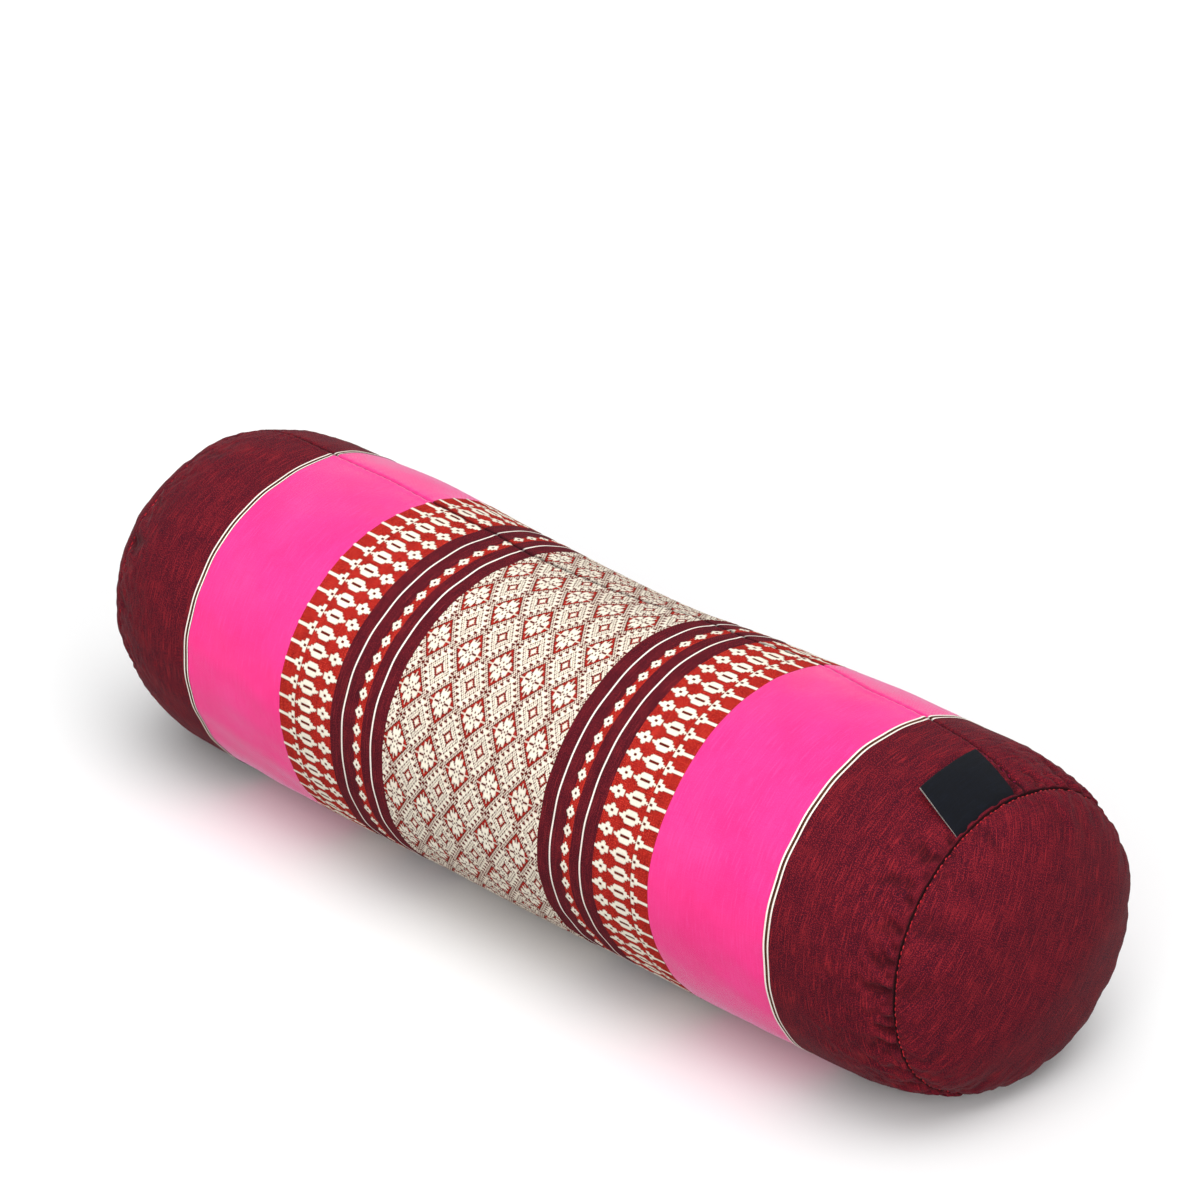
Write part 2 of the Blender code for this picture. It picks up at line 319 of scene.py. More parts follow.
def end_points(side, disc, rows, inset=0.0):
    """Points of an end sleeve or an end disc, with the allowance turned in at the seam, and the painted
    shade of its groove and creases.
    """
    wall = 1 if disc else -1
    allowance = np.linspace(SEAM_RADIUS - SEAM_ALLOWANCE, SEAM_RADIUS - GROOVE_DEPTH - 0.4 * MM - inset, 5)
    tucked = np.full(5, X_SEAM + wall * (SEAM_GAP + inset))
    facing = np.tile([wall * -1.0, 0.0], (5, 1))
    parts = zip((tucked, allowance[::wall], facing, np.zeros(5)), end_profile(disc, inset))
    x, radius, normal, away = (np.concatenate(pair[::wall]) for pair in parts)
    if side < 0:
        x, radius, normal, away = -x[::-1], radius[::-1], normal[::-1] * [-1, 1], away[::-1]
    x, radius, away = x[:, None], radius[:, None], away[:, None]
    nx, nr = normal[:, :1], normal[:, 1:]
    angle = rounds(rows) + ROW_SKEW * np.clip(x, -X_SEAM, X_SEAM)
    outward = (fold_height(side, disc, away, angle) - pleat_depth(side, disc, away, angle)) * (away > 0)
    # Painted shade: fold hollows and the seam's groove are darkened in colour
    hollow_shade = HOLLOW_SHADE * np.clip(-outward / HOLLOW_DEPTH, 0, 1)
    crease = np.maximum(np.exp(-(away / GROOVE_SHADE_WIDTH) ** 2), hollow_shade)
    place = x
    if disc:
        near = np.exp(-away / 0.012)
        outward = outward * np.clip(radius / 0.03, 0, 1) + lumps(place, angle) * near
        outward = outward + dome_lumps(radius * np.cos(angle), side * radius * np.sin(angle)) * (1 - near)
    else:
        place = x + wander(x, angle)
        outward = outward + lumps(place, angle) + ripples(place, angle)
        outward = outward - side_seam_depth(place, angle, radius) * (away > 0)
        # The side seam's crease gets painted shade as well
        crease = np.maximum(crease, side_crease_shade(place, angle, radius))
    radius = radius + nr * outward
    points = settle(place + nx * outward, angle, radius, radius + (0.0 if disc else inset))
    return points, crease


def quads(index, outward=True):
    """Faces of a grid of rings whose rows close, looking outward or inward."""
    nxt = next_rows(index.shape[1])
    faces = stack(index[:-1], index[:-1][:, nxt], index[1:][:, nxt], index[1:])
    return faces if outward else faces[..., ::-1]


def capsule(count, rows):
    """Indices and faces of a grid of rings, and the triangles to a pole at each end of it."""
    index = np.arange(count * rows).reshape(count, rows)
    nxt = next_rows(rows)
    first = stack(index[0][nxt], index[0], np.full(rows, index.size))
    last = stack(index[-1], index[-1][nxt], np.full(rows, index.size + 1))
    return index, quads(index).reshape(-1, 4), np.concatenate([first, last])


def add_object(name, data):
    obj = bpy.data.objects.new(name, data)
    bpy.context.scene.collection.objects.link(obj)
    return obj


def vertex_places(mesh):
    places = np.empty(len(mesh.vertices) * 3, np.float32)
    mesh.vertices.foreach_get("co", places)
    return places.reshape(-1, 3)


# The simulated cover: points round it, and its rings on the sleeve and on the disc, first one step
# apart beside the seam and then at these distances from it
FOLD_ROWS = 150
FOLD_STEP = 0.002
NEAR_RINGS = {False: 20, True: 14}
FAR_RINGS = {False: (0.048, 0.062, 0.085, 0.115, 0.15, 0.19), True: (0.033, 0.04, 0.05, 0.06)}
FOLD_FRAMES = 20
FOLD_JITTER = 0.0002
SURPLUS_REACH = 0.014
CLOTH_SETTINGS = {
    "quality": 5, "mass": 0.002, "tension_stiffness": 15, "compression_stiffness": 15,
    "shear_stiffness": 5, "bending_stiffness": 0.02, "use_pressure": True, "uniform_pressure_force": 20,
    "vertex_group_mass": "held", "vertex_group_shrink": "plain", "shrink_min": -0.10, "shrink_max": 0.0,
}

# What is kept of its folds: rows are made this much finer, then come the shares of them on the disc
# and the sleeve, the limits, and how far they are flattened under the label, placed as for bell
FOLD_FINER = 8
FOLD_SHARE = {True: 0.4, False: 1.2}
FOLD_LIMITS = (-0.0026, 0.0011)
DISC_FOLD_LIMIT = -0.0009
LEFT_SHARE = 0.45
UNDER_LABEL = (100, 20)
LABEL_FLATTENS = 0.9


def trial_rings():
    """The coarse cover's rings from pole to pole, as distance to the seam, x, radius and normal.

    The second value gives the two rings that lie in the end seams.
    """
    half = []
    for disc in (False, True):
        if disc:
            x, radius = dome(np.linspace(0, np.pi / 2 - POLE_GAP, 400))
        else:
            x = np.linspace(X_SEAM, 0.01, 900)
            radius = skin_radius(x)
        away = path_length(x, radius)
        turn = -1 if disc else 1
        values = [x, radius, turn * np.gradient(radius, away), -turn * np.gradient(x, away)]
        place = np.concatenate([np.arange(1, NEAR_RINGS[disc] + 1) * FOLD_STEP, FAR_RINGS[disc]])
        half.append(stack(place, *(np.interp(place, away, value) for value in values)))
    seam_ring = len(half[0])
    half = np.concatenate([half[0][::-1], [[0.0, X_SEAM, SEAM_RADIUS, 0.5, 0.866]], half[1]])
    rings = np.concatenate([half[::-1] * [1, -1, 1, -1, 1], half])
    return rings, (len(half) - 1 - seam_ring, len(half) + seam_ring)


def simulate_folds():
    """How far the cloth stands out beside both end seams, from a cloth simulation of the whole cover.

    A coarse closed copy is blown up a little while its end seams are held. Its cloth is longer beside
    them, as in a sewn cover, so it gathers there. What is kept for each sleeve and disc is the
    distance out of the skin, less its mean round the roll, by distance from the seam and angle.
    """
    rings, held = trial_rings()
    count = len(rings)
    angle = rounds(FOLD_ROWS)
    spoke = stack(np.zeros(FOLD_ROWS), np.cos(angle), np.sin(angle))
    jitter = np.random.default_rng(5).normal(0, FOLD_JITTER, (count, FOLD_ROWS))
    start = rings[:, None, 1:2] * [1, 0, 0] + (rings[:, 2:3] + jitter)[..., None] * spoke
    points = np.concatenate([start.reshape(-1, 3), [[rings[0, 1], 0, 0], [rings[-1, 1], 0, 0]]])
    index, faces, tris = capsule(count, FOLD_ROWS)
    mesh = bpy.data.meshes.new("fold_trial")
    mesh.from_pydata(points.tolist(), [], faces.tolist() + tris.tolist())
    trial = add_object("fold_trial", mesh)
    pinned = trial.vertex_groups.new(name="held")
    plain = trial.vertex_groups.new(name="plain")
    for ring in range(count):
        members = index[ring].tolist()
        if ring in held:
            pinned.add(members, 1.0, "REPLACE")
        plain.add(members, float(1 - np.exp(-rings[ring, 0] / SURPLUS_REACH)), "REPLACE")
    cloth = trial.modifiers.new("cloth", "CLOTH")
    for key, value in CLOTH_SETTINGS.items():
        setattr(cloth.settings, key, value)
    cloth.settings.effector_weights.gravity = 0.0
    cloth.collision_settings.use_collision = False
    cloth.point_cache.frame_start = 1
    cloth.point_cache.frame_end = FOLD_FRAMES
    for step in range(1, FOLD_FRAMES + 1):
        bpy.context.scene.frame_set(step)
    solved = trial.evaluated_get(bpy.context.evaluated_depsgraph_get()).to_mesh()
    moved = vertex_places(solved)[:index.size].reshape(count, FOLD_ROWS, 3)
    bpy.data.objects.remove(trial)
    bpy.data.meshes.remove(mesh)
    bpy.context.scene.frame_set(1)
    along = (moved[..., 0] - rings[:, 1:2]) * rings[:, 3:4]
    out = along + (np.hypot(moved[..., 1], moved[..., 2]) - rings[:, 2:3]) * rings[:, 4:5]
    out = out - out.mean(1, keepdims=True)
    out = np.fft.irfft(np.fft.rfft(out, axis=1), FOLD_ROWS * FOLD_FINER, axis=1) * FOLD_FINER
    folds = {}
    for side, ring in zip((-1, 1), held):
        for disc in (False, True):
            step = side if disc else -side
            picked = out[[ring + step * k for k in range(NEAR_RINGS[disc] + 1)]]
            fade = np.cos(np.linspace(0, np.pi / 2, len(picked)))[:, None] ** 0.5
            folds[side, disc] = np.clip(picked * FOLD_SHARE[disc], *FOLD_LIMITS) * fade
    return folds


def fold_height(side, disc, away, angle):
    """How far the simulated folds stand out, at a distance from the seam and an angle round the roll."""
    if not FOLDS:
        return 0.0
    grid = FOLDS[side, disc]
    away, angle = np.broadcast_arrays(np.abs(away), angle)
    place = np.clip(away / FOLD_STEP, 0, len(grid) - 1.001)
    turn = np.remainder(angle, 2 * np.pi) * grid.shape[1] / (2 * np.pi)
    ring, row = place.astype(int), turn.astype(int) % grid.shape[1]
    t, share = place - ring, turn - turn.astype(int)
    nxt = (row + 1) % grid.shape[1]

    # A cubic through four rings, and a straight line between two rows
    weights = (
        -0.5 * t + t ** 2 - 0.5 * t ** 3, 1 - 2.5 * t ** 2 + 1.5 * t ** 3,
        0.5 * t + 2 * t ** 2 - 1.5 * t ** 3, -0.5 * t ** 2 + 0.5 * t ** 3,
    )
    total = 0.0
    for offset, weight in zip((-1, 0, 1, 2), weights):
        tap = np.clip(ring + offset, 0, len(grid) - 1)
        total = total + weight * (grid[tap, row] * (1 - share) + grid[tap, nxt] * share)
    if side > 0 and not disc:
        under_label = np.clip(2.0 * bell(angle, *UNDER_LABEL), 0, 1) * (away < 0.04)
        total = np.where(total > 0, total * (1 - LABEL_FLATTENS * under_label), total)
    if side < 0:
        total = total * LEFT_SHARE
    if disc:
        total = np.maximum(total, DISC_FOLD_LIMIT)
    return total * (away < FOLD_STEP * (len(grid) - 1))


FOLDS = simulate_folds()


def make_object(name, points, faces, slots, maps, materials, triangles=None, marks=None):
    """A mesh object from arrays: points, quads, a material slot for each face, and UV maps by name.

    marks are values by name for the first points, which the materials read.
    """
    mesh = bpy.data.meshes.new(name)
    groups = [faces.reshape(-1, 4)] + ([] if triangles is None else [triangles])
    corners = np.concatenate([group.ravel() for group in groups]).astype(np.int32)
    sizes = np.concatenate([np.full(len(group), group.shape[1]) for group in groups])
    starts = np.concatenate([[0], sizes.cumsum()[:-1]]).astype(np.int32)
    mesh.vertices.add(len(points))
    mesh.vertices.foreach_set("co", np.ascontiguousarray(points, np.float32).ravel())
    mesh.loops.add(len(corners))
    mesh.loops.foreach_set("vertex_index", corners)
    mesh.polygons.add(len(sizes))
    mesh.polygons.foreach_set("loop_start", starts)
    mesh.polygons.foreach_set("material_index", slots.astype(np.int32))
    for label, uv in maps.items():
        set_map(mesh.uv_layers.new(name=label), uv)
    for label, share in (marks or {}).items():
        values = np.zeros(len(points), np.float32)
        values[:share.size] = share.ravel()
        mesh.attributes.new(label, "FLOAT", "POINT").data.foreach_set("value", values)
    mesh.update(calc_edges=True)
    mesh.validate()
    mesh.shade_smooth()
    mesh.set_sharp_from_angle(angle=math.radians(60))
    obj = add_object(name, mesh)
    for material in materials:
        mesh.materials.append(material)
    return obj


def set_map(layer, uv):
    layer.data.foreach_set("uv", np.ascontiguousarray(uv, np.float32).ravel())


# Parts of a band's bake map: start and width of its outside and inside, its two rims, and its poles
BAKE_OUTSIDE, BAKE_INSIDE = (0.0, 0.94), (0.96, 0.03)
BAKE_RIMS, BAKE_POLE = (0.952, 0.995), (0.945, 0.5)
GIRTH = 2 * np.pi * CENTRE_RADIUS


def grid_maps(place, rows, start, width, laps=1):
    """Cloth and bake places of a grid's corners. The bake map lays the laps of the girth side by side."""
    column, row = np.meshgrid(np.arange(len(place) - 1), np.arange(rows), indexing="ij")
    column = stack(column, column, column + 1, column + 1)
    turn = stack(row, row + 1, row + 1, row)
    share = (place[column] - place[0]) / (place[-1] - place[0])
    lap_rows = rows / laps
    lap = np.floor(row / lap_rows)[..., None]
    u = start + width * (lap + np.clip(share, 0, 1)) / laps
    cloth = stack(place[column], turn * GIRTH / rows)
    return [cloth, stack(u, (turn - lap * lap_rows) / lap_rows)]


def shell(name, outer, inner, along, materials, cells=None, laps=3, closed_end=0, marks=None):
    """A closed sheet of cloth: an outer grid, a plainer inner grid, and rims or a closed pole."""
    rows = outer.shape[1]
    nxt = next_rows(rows)
    row = np.arange(rows)
    out = np.arange(outer.shape[0] * rows).reshape(-1, rows)
    inn = out.size + np.arange(inner.shape[0] * rows).reshape(-1, rows)
    points = [outer.reshape(-1, 3), inner.reshape(-1, 3)]
    faces = [quads(out), quads(inn, outward=False)]
    inside = grid_maps(np.linspace(along[0], along[-1], len(inner)), rows, *BAKE_INSIDE)
    maps = [grid_maps(along, rows, *BAKE_OUTSIDE, laps), [part[..., ::-1, :] for part in inside]]
    slots = [np.zeros((len(outer) - 1) * rows) if cells is None else cells.ravel()]
    slots.append(np.zeros((len(inner) - 1) * rows))
    triangles = []
    for end, rim_place in zip((0, -1), BAKE_RIMS):
        if closed_end == (-1 if end == 0 else 1):
            for ring, grid, up in ((out, outer, end == -1), (inn, inner, end == 0)):
                pole = sum(len(part) for part in points)
                points.append(grid[end].mean(0)[None])
                tri = stack(ring[end], ring[end][nxt], np.full(rows, pole))
                triangles.append(tri if up else tri[:, ::-1])
            continue
        a, b = out[end], inn[end]
        turn = stack(row + 1, row, row, row + 1) * GIRTH / rows
        rim = stack(a[nxt], a, b, b[nxt])
        if end:
            rim, turn = rim[:, ::-1], turn[:, ::-1]
        faces.append(rim)
        cloth = stack(np.full(turn.shape, along[end]), turn)
        maps.append([cloth, stack(np.full(turn.shape, rim_place), turn / GIRTH)])
        slots.append(np.zeros(rows))
    tris = np.concatenate(triangles) if triangles else None
    if triangles:
        slots.append(np.zeros(len(tris)))
        maps.append([np.tile(BAKE_POLE, (tris.size, 1))] * 2)
    cloth, bake = (np.concatenate([part.reshape(-1, 2) for part in parts]) for parts in zip(*maps))
    quad_list = np.concatenate([part.reshape(-1, 4) for part in faces])
    return make_object(name, np.concatenate(points), quad_list, np.concatenate(slots),
                       {"Cloth": cloth, "OFBake": bake}, materials, tris, marks)


# Weaves

CENTRE_COLUMNS = 150
CENTRE_ROWS = 570
TILE = 30
FIRST_FLOWER = (70, 23)
# The third kind of cell is maroon or dark yarn in the stripe and line bands, and darker red painted shade
# between cream yarns in the centre and motif bands
GROUND, CREAM, DARK_AND_SHADE, LINE = 0, 1, 2, 3

# Patches of a quarter of a flower, in cream and in painted shade: first and last column, first and last row
# from its middle
FLOWER_CREAM = [
    (0, 3, 4, 6), (0, 0, 0, 9), (2, 3, 7, 7), (3, 7, 1, 3), (5, 6, 4, 4), (0, 3, 0, 3), (7, 11, 0, 0),
]
FLOWER_SHADE = [(0, 0, 0, 0), (2, 2, 1, 1), (0, 0, 3, 3), (3, 3, 3, 3), (3, 6, 0, 0)]


def centre_weave():
    """The flower and diamond lattice of the centre panel, cell by cell.

    One tile is 30 by 30 cells. level counts cells from the middle of a flower, and near from the
    middle of the small diamonds that stand between four flowers.
    """
    half = TILE // 2
    column = np.arange(CENTRE_COLUMNS)[:, None]
    a = np.abs((column - FIRST_FLOWER[0] + half) % TILE - half)
    b = np.abs((np.arange(CENTRE_ROWS) - FIRST_FLOWER[1] + half) % TILE - half)
    a, b = np.broadcast_arrays(a, b)
    level = a + b
    near = TILE - level
    cells = np.full(a.shape, CREAM)

    # Flower: darker red painted shade between its cream yarns, a red outline that is brightest at its
    # points, cream crowns, petals and leaves
    cells[level <= 12] = DARK_AND_SHADE
    cells[(level >= 10) & (level <= 11) & (b >= 5)] = GROUND
    cells[(level < 12) & (a >= 8)] = GROUND
    for patches, yarn_kind in ((FLOWER_CREAM, CREAM), (FLOWER_SHADE, DARK_AND_SHADE)):
        for a0, a1, b0, b1 in patches:
            cells[(a >= a0) & (a <= a1) & (b >= b0) & (b <= b1)] = yarn_kind

    # Lattice: fine dotted lines with a row of small T shapes between them; the dots and the Ts are darker
    # red painted shade
    cells[(level == 14) | (near == 9) | (near == 7)] = LINE
    cells[(level == 14) & (a % 2 == 0) | (near == 9) & (a % 2 == 1)] = DARK_AND_SHADE
    tooth = np.round(a / 3).astype(int)
    rung = 17 - 3 * tooth
    cells[(np.abs(a - 3 * tooth) <= 2) & (b == rung) & (tooth > 0)] = DARK_AND_SHADE
    cells[(a == 3 * tooth) & (b == rung - 1) & (tooth > 0)] = DARK_AND_SHADE
    cells[(a <= 1) & (b == half)] = DARK_AND_SHADE

    # Small diamond: a red ring, its outer part and a spike on each side in darker red painted shade, cream
    # within and without
    cells[(near == 4) | (near == 5) & ((a == half) | (b == half))] = DARK_AND_SHADE
    cells[near == 3] = GROUND
    return cells


BAND_ROWS = 912
MOTIF_ROWS = 16
FIGURE_MIDDLE = 12

# Rows from the middle line of the nearest figure: -1 is just below it and 0 just above
FIGURE_ROW = (np.arange(BAND_ROWS) - FIGURE_MIDDLE + MOTIF_ROWS // 2) % MOTIF_ROWS - MOTIF_ROWS // 2

# Each entry of the figure row is (columns, rows of cream on each side of its middle, rows of its hole)
MOTIF_STEPS = [
    (2, 1.5, 0), (3, 3, 0), (1, 5, 0), (2, 6, 1), (1, 5, 0), (3, 3, 0), (1, 0, 0), (1, 1, 0), (2, 1.5, 0),
    (2, 3, 0), (1, 5, 0), (8, 6, 1), (1, 5, 0), (2, 3, 0), (1, 1, 0), (1, 1.5, 0), (1, 0.5, 0), (1, 6, 0),
    (2, 6, 1), (3, 3, 0), (9, 1.5, 0),
]


def within(half):
    """Rows within half rows of a figure's middle, where a half row more goes to the upper side."""
    return (FIGURE_ROW >= -np.floor(half)) & (FIGURE_ROW < np.ceil(half))


def motif_weave():
    """Rows of stepped cream figures on red, from the maroon side outward."""
    cells = []
    for count, half, hole in MOTIF_STEPS:
        line = np.where(within(half), CREAM, GROUND)
        # Holes in a figure are darker red painted shade
        line[within(hole)] = DARK_AND_SHADE
        cells += [line] * count
    return np.stack(cells)


# Parts of the stripe band from the centre panel outward: width in mm, columns, what it is
STRIPE_PARTS = [
    (6.85, 7, "plain"), (0.85, 2, "hairline"), (4.9, 6, "plain"), (6.3, 14, "chain"), (5.15, 6, "plain"),
    (0.85, 2, "hairline"), (6.6, 7, "plain"),
]
DIAMOND_STEPS = [6, 4, 4, 2, 1]
RED_STRIP = (-3, 6.5)


def stripe_along():
    """Places of the stripe band's columns, measured from the centre panel."""
    widths = [width / count for width, count, _ in STRIPE_PARTS for _ in range(count)]
    return np.concatenate([[0], np.cumsum(widths)]) * MM


def stripe_weave(side):
    """Maroon with two cream hairlines and a chain of small diamonds on a red strip between them."""
    cells = []
    for _, count, kind in STRIPE_PARTS:
        for column in range(count):
            line = np.full(BAND_ROWS, LINE if kind == "hairline" else DARK_AND_SHADE)
            if kind == "chain":
                from_chain = column - count / 2 + 0.5
                if RED_STRIP[0] < side * from_chain < RED_STRIP[1]:
                    line[:] = GROUND
                step = int(abs(from_chain))
                if step < len(DIAMOND_STEPS):
                    line[within(DIAMOND_STEPS[step])] = CREAM
                if step == 0:
                    line[within(1)] = DARK_AND_SHADE
            cells.append(line)
    return np.stack(cells)


def line_weave():
    """The double cream line: two raised yarns with a dark one between, from the pink side outward."""
    kinds = [LINE] * 3 + [DARK_AND_SHADE] * 5 + [LINE] * 3 + [GROUND]
    return np.repeat(np.array(kinds)[:, None], BAND_ROWS, 1)


def raised_share(cells):
    """The share of pattern yarn in the cells round each grid point, from 0 to 1."""
    raised = ((cells == CREAM) | (cells == LINE)).astype(float)
    raised = np.concatenate([raised[:1], raised, raised[-1:]])
    both = (raised[:-1] + raised[1:]) / 2
    return (both + np.roll(both, 1, 1)) / 2


# Materials


def linear(rgb):
    """A colour given as 0 to 255 screen values, as Blender's linear colour."""
    parts = [value / 255 for value in rgb]
    parts = [p / 12.92 if p <= 0.04045 else ((p + 0.055) / 1.055) ** 2.4 for p in parts]
    return (*parts, 1.0)


class Nodes:
    """A small helper that builds the nodes of a material or of the world."""

    def __init__(self, owner):
        owner.use_nodes = True
        self.owner = owner
        self.tree = owner.node_tree

    def add(self, kind, inputs=(), **settings):
        """Add a shader node with values or links for its inputs, by name or number."""
        node = self.tree.nodes.new("ShaderNode" + kind)
        for key, value in settings.items():
            setattr(node, key, value)
        for key, value in dict(inputs).items():
            self.put(node.inputs[key], value)
        return node

    def put(self, socket, value):
        if isinstance(value, bpy.types.NodeSocket):
            self.tree.links.new(value, socket)
        else:
            socket.default_value = value

    def math(self, operation, a, b=0.0, clamp=False):
        return self.add("Math", {0: a, 1: b}, operation=operation, use_clamp=clamp).outputs[0]

    def times(self, a, b, clamp=False):
        return self.math("MULTIPLY", a, b, clamp)

    def mix(self, share, a, b):
        return self.add("Mix", {0: share, 6: a, 7: b}, data_type="RGBA").outputs[2]

    def cloth(self, along, around, tilt=0.0):
        """Place on the cloth, in so many steps to the metre along the roll and round it."""
        uv = self.add("UVMap", uv_map="Cloth").outputs[0]
        turned = self.add("Mapping", {"Vector": uv, "Rotation": (0, 0, tilt)}).outputs[0]
        return self.add("VectorMath", {0: turned, 1: (along, around, 1)}, operation="MULTIPLY").outputs[0]

    def noise(self, vector, detail=2.0, roughness=0.5):
        inputs = {"Vector": vector, "Scale": 1.0, "Detail": detail, "Roughness": roughness}
        return self.add("TexNoise", inputs, noise_dimensions="2D").outputs[0]

    def ramp(self, value, low, high):
        inputs = {"Value": value, "From Min": low, "From Max": high}
        return self.add("MapRange", inputs, interpolation_type="SMOOTHSTEP").outputs[0]

    def rest(self, value):
        return self.math("SUBTRACT", 1.0, value)

    def mark(self, name):
        """The mesh's own mark: how deep in a crease a place is, or its share of raised yarn; the materials
        paint shade by both.
        """
        return self.add("Attribute", attribute_name=name).outputs["Fac"]

    def seen(self):
        """1 where the surface is looked at, straight or in a reflection, and 0 where it gives light."""
        path = self.add("LightPath").outputs
        return self.math("MAXIMUM", path["Is Camera Ray"], path["Is Glossy Ray"])

    def across(self, value):
        """Height over yarns that lie side by side, one to each unit of a value."""
        return self.math("ABSOLUTE", self.math("SINE", self.times(value, math.pi)))

    def weave(self, pitch, tilt=0.0):
        """Height of a plain weave of that yarn spacing in millimetres, from 0 to 1."""
        place = self.cloth(1000 / pitch, 1000 / pitch, tilt)
        x, y, _ = self.add("SeparateXYZ", {0: place}).outputs
        warp, weft = self.across(x), self.across(y)
        over = self.math("ADD", self.math("FLOOR", x), self.math("FLOOR", y))
        over = self.math("FLOORED_MODULO", over, 2.0)
        return self.math("ADD", self.times(warp, over), self.times(weft, self.rest(over)))

    def blend(self, colour, shade, share, amount):
        return self.mix(self.times(share, amount, clamp=True), colour, shade)

    def stain(self, colour, shade, value, low, high, amount):
        """Mix a shade into a colour by that amount, where a value runs from low to high."""
        return self.blend(colour, shade, self.ramp(value, low, high), amount)

    def finish(self, colour, height, rough, bump, depth, gloss=0.1, sheen=0.0, tint=(1, 1, 1, 1)):
        relief = self.add("Bump", {"Strength": bump, "Distance": depth, "Height": height})
        sockets = {
            "Base Color": colour, "Roughness": rough, "Normal": relief.outputs[0],
            "Specular IOR Level": gloss, "Sheen Weight": sheen, "Sheen Roughness": 0.3, "Sheen Tint": tint,
        }
        for name, value in sockets.items():
            self.put(self.tree.nodes["Principled BSDF"].inputs[name], value)
        return self.owner


# Painted shade: the colour that seam creases and fold hollows are darkened towards
CREASE_SHADE = (34, 8, 14)


def cotton(name, base, deep, bright, pitch=0.42, patch=0.15, slub=(1.7, 0.09), amounts=(0.5, 0.3, 0.3),
           tilt=0.0, gloss=0.1, sheen=0.0, tint=(1, 1, 1, 1), shade=None, crease=CREASE_SHADE):
    """Plain woven cotton with uneven dye, slubs round the roll, fainter ones across and a fine weave.

    patch is how often the dye patches change per millimetre, and slub how often the slubs do along the
    roll and round it. amounts are how strong the patches, the slubs and the weave are, and the weave's
    part also paints shade in the gaps between yarns. shade is painted shade on the ground beside raised
    yarn, and the crease colour is painted shade in the seams and folds.
    """
    n = Nodes(bpy.data.materials.new(name))
    base, deep, bright = linear(base), linear(deep), linear(bright)
    dyed, slubbed, woven = amounts
    dye = n.noise(n.cloth(1000 * patch, 800 * patch, tilt), 4.0, 0.6)
    line = n.noise(n.cloth(1000 * slub[0], 1000 * slub[1], tilt))
    cross = n.noise(n.cloth(1200 * slub[1], 900 * slub[0], tilt))
    speck = n.noise(n.cloth(2900, 2100, tilt), 0.0)
    colour = base
    for shade_in, value, low, high, amount in (
        (deep, dye, 0.52, 0.34, dyed), (bright, dye, 0.52, 0.72, 0.6 * dyed),
        (deep, cross, 0.50, 0.30, slubbed),
        (deep, line, 0.48, 0.28, 1.6 * slubbed), (bright, line, 0.56, 0.74, 1.6 * slubbed),
        (deep, speck, 0.46, 0.22, 1.6 * woven), (bright, speck, 0.56, 0.80, 1.6 * woven),
    ):
        colour = n.stain(colour, shade_in, value, low, high, amount)
    weave = n.weave(pitch, tilt)
    # Painted shade: darker in the gaps between the yarns of the weave
    colour = n.mix(n.times(n.rest(weave), woven), colour, deep)
    # Painted shade on the ground beside raised pattern yarn
    if shade:
        colour = n.blend(colour, linear(shade), n.mark("Raised"), 0.85)
    # Painted shade in the seams' creases and the folds' hollows
    colour = n.mix(n.mark("CreaseShade"), colour, linear(crease))
    height = n.math("ADD", weave, n.times(line, 1.2))
    rough = n.math("ADD", 0.80, n.times(speck, 0.2))
    return n.finish(colour, height, rough, 0.3, 0.00022, gloss, sheen, tint)


def yarn(name, base, deep, pitch, twist_shade, edge_shade, length=1.3, dots=0.0):
    """Raised pattern yarn: soft strands with a twist, side by side, with painted shade between the strands,
    in the turns of the twist and where they dip under the ground.

    pitch and length are the width of a strand and the length of a turn in mm, the two shade values
    how dark the painted shade in the turns and at the ends of the yarn is, and dots the spacing of the
    ground seen through it.
    """
    n = Nodes(bpy.data.materials.new(name))
    base, deep = linear(base), linear(deep)
    x, y, _ = n.add("SeparateXYZ", {0: n.cloth(1000 / pitch, 1000 / length)}).outputs
    strand = n.across(x)
    twist = n.math("SINE", n.times(n.math("ADD", x, y), 2 * math.pi))
    fibre = n.noise(n.cloth(2600, 900))
    slow = n.noise(n.cloth(60, 60))
    # Painted shade: darker between the strands and in the turns of the twist
    colour = n.mix(n.times(n.rest(n.ramp(strand, 0.0, 0.5)), 0.25), base, deep)
    colour = n.stain(colour, deep, twist, 0.2, 0.9, twist_shade)
    colour = n.stain(colour, deep, fibre, 0.5, 0.8, 0.2)
    colour = n.stain(colour, deep, slow, 0.4, 0.7, 0.08)
    if dots:
        colour = n.mix(n.ramp(n.weave(dots), 0.78, 0.52), colour, deep)
    # Painted shade: darker towards the ends of the yarn, where less of it is raised
    colour = n.blend(colour, deep, n.rest(n.mark("Raised")), edge_shade)
    # Painted shade in the seams' creases and the folds' hollows
    colour = n.mix(n.mark("CreaseShade"), colour, linear(CREASE_SHADE))
    height = n.math("ADD", n.math("ADD", strand, n.times(twist, 0.3)), n.times(fibre, 0.5))
    return n.finish(colour, height, n.math("ADD", 0.75, n.times(fibre, 0.2)), 0.35, 0.0002)
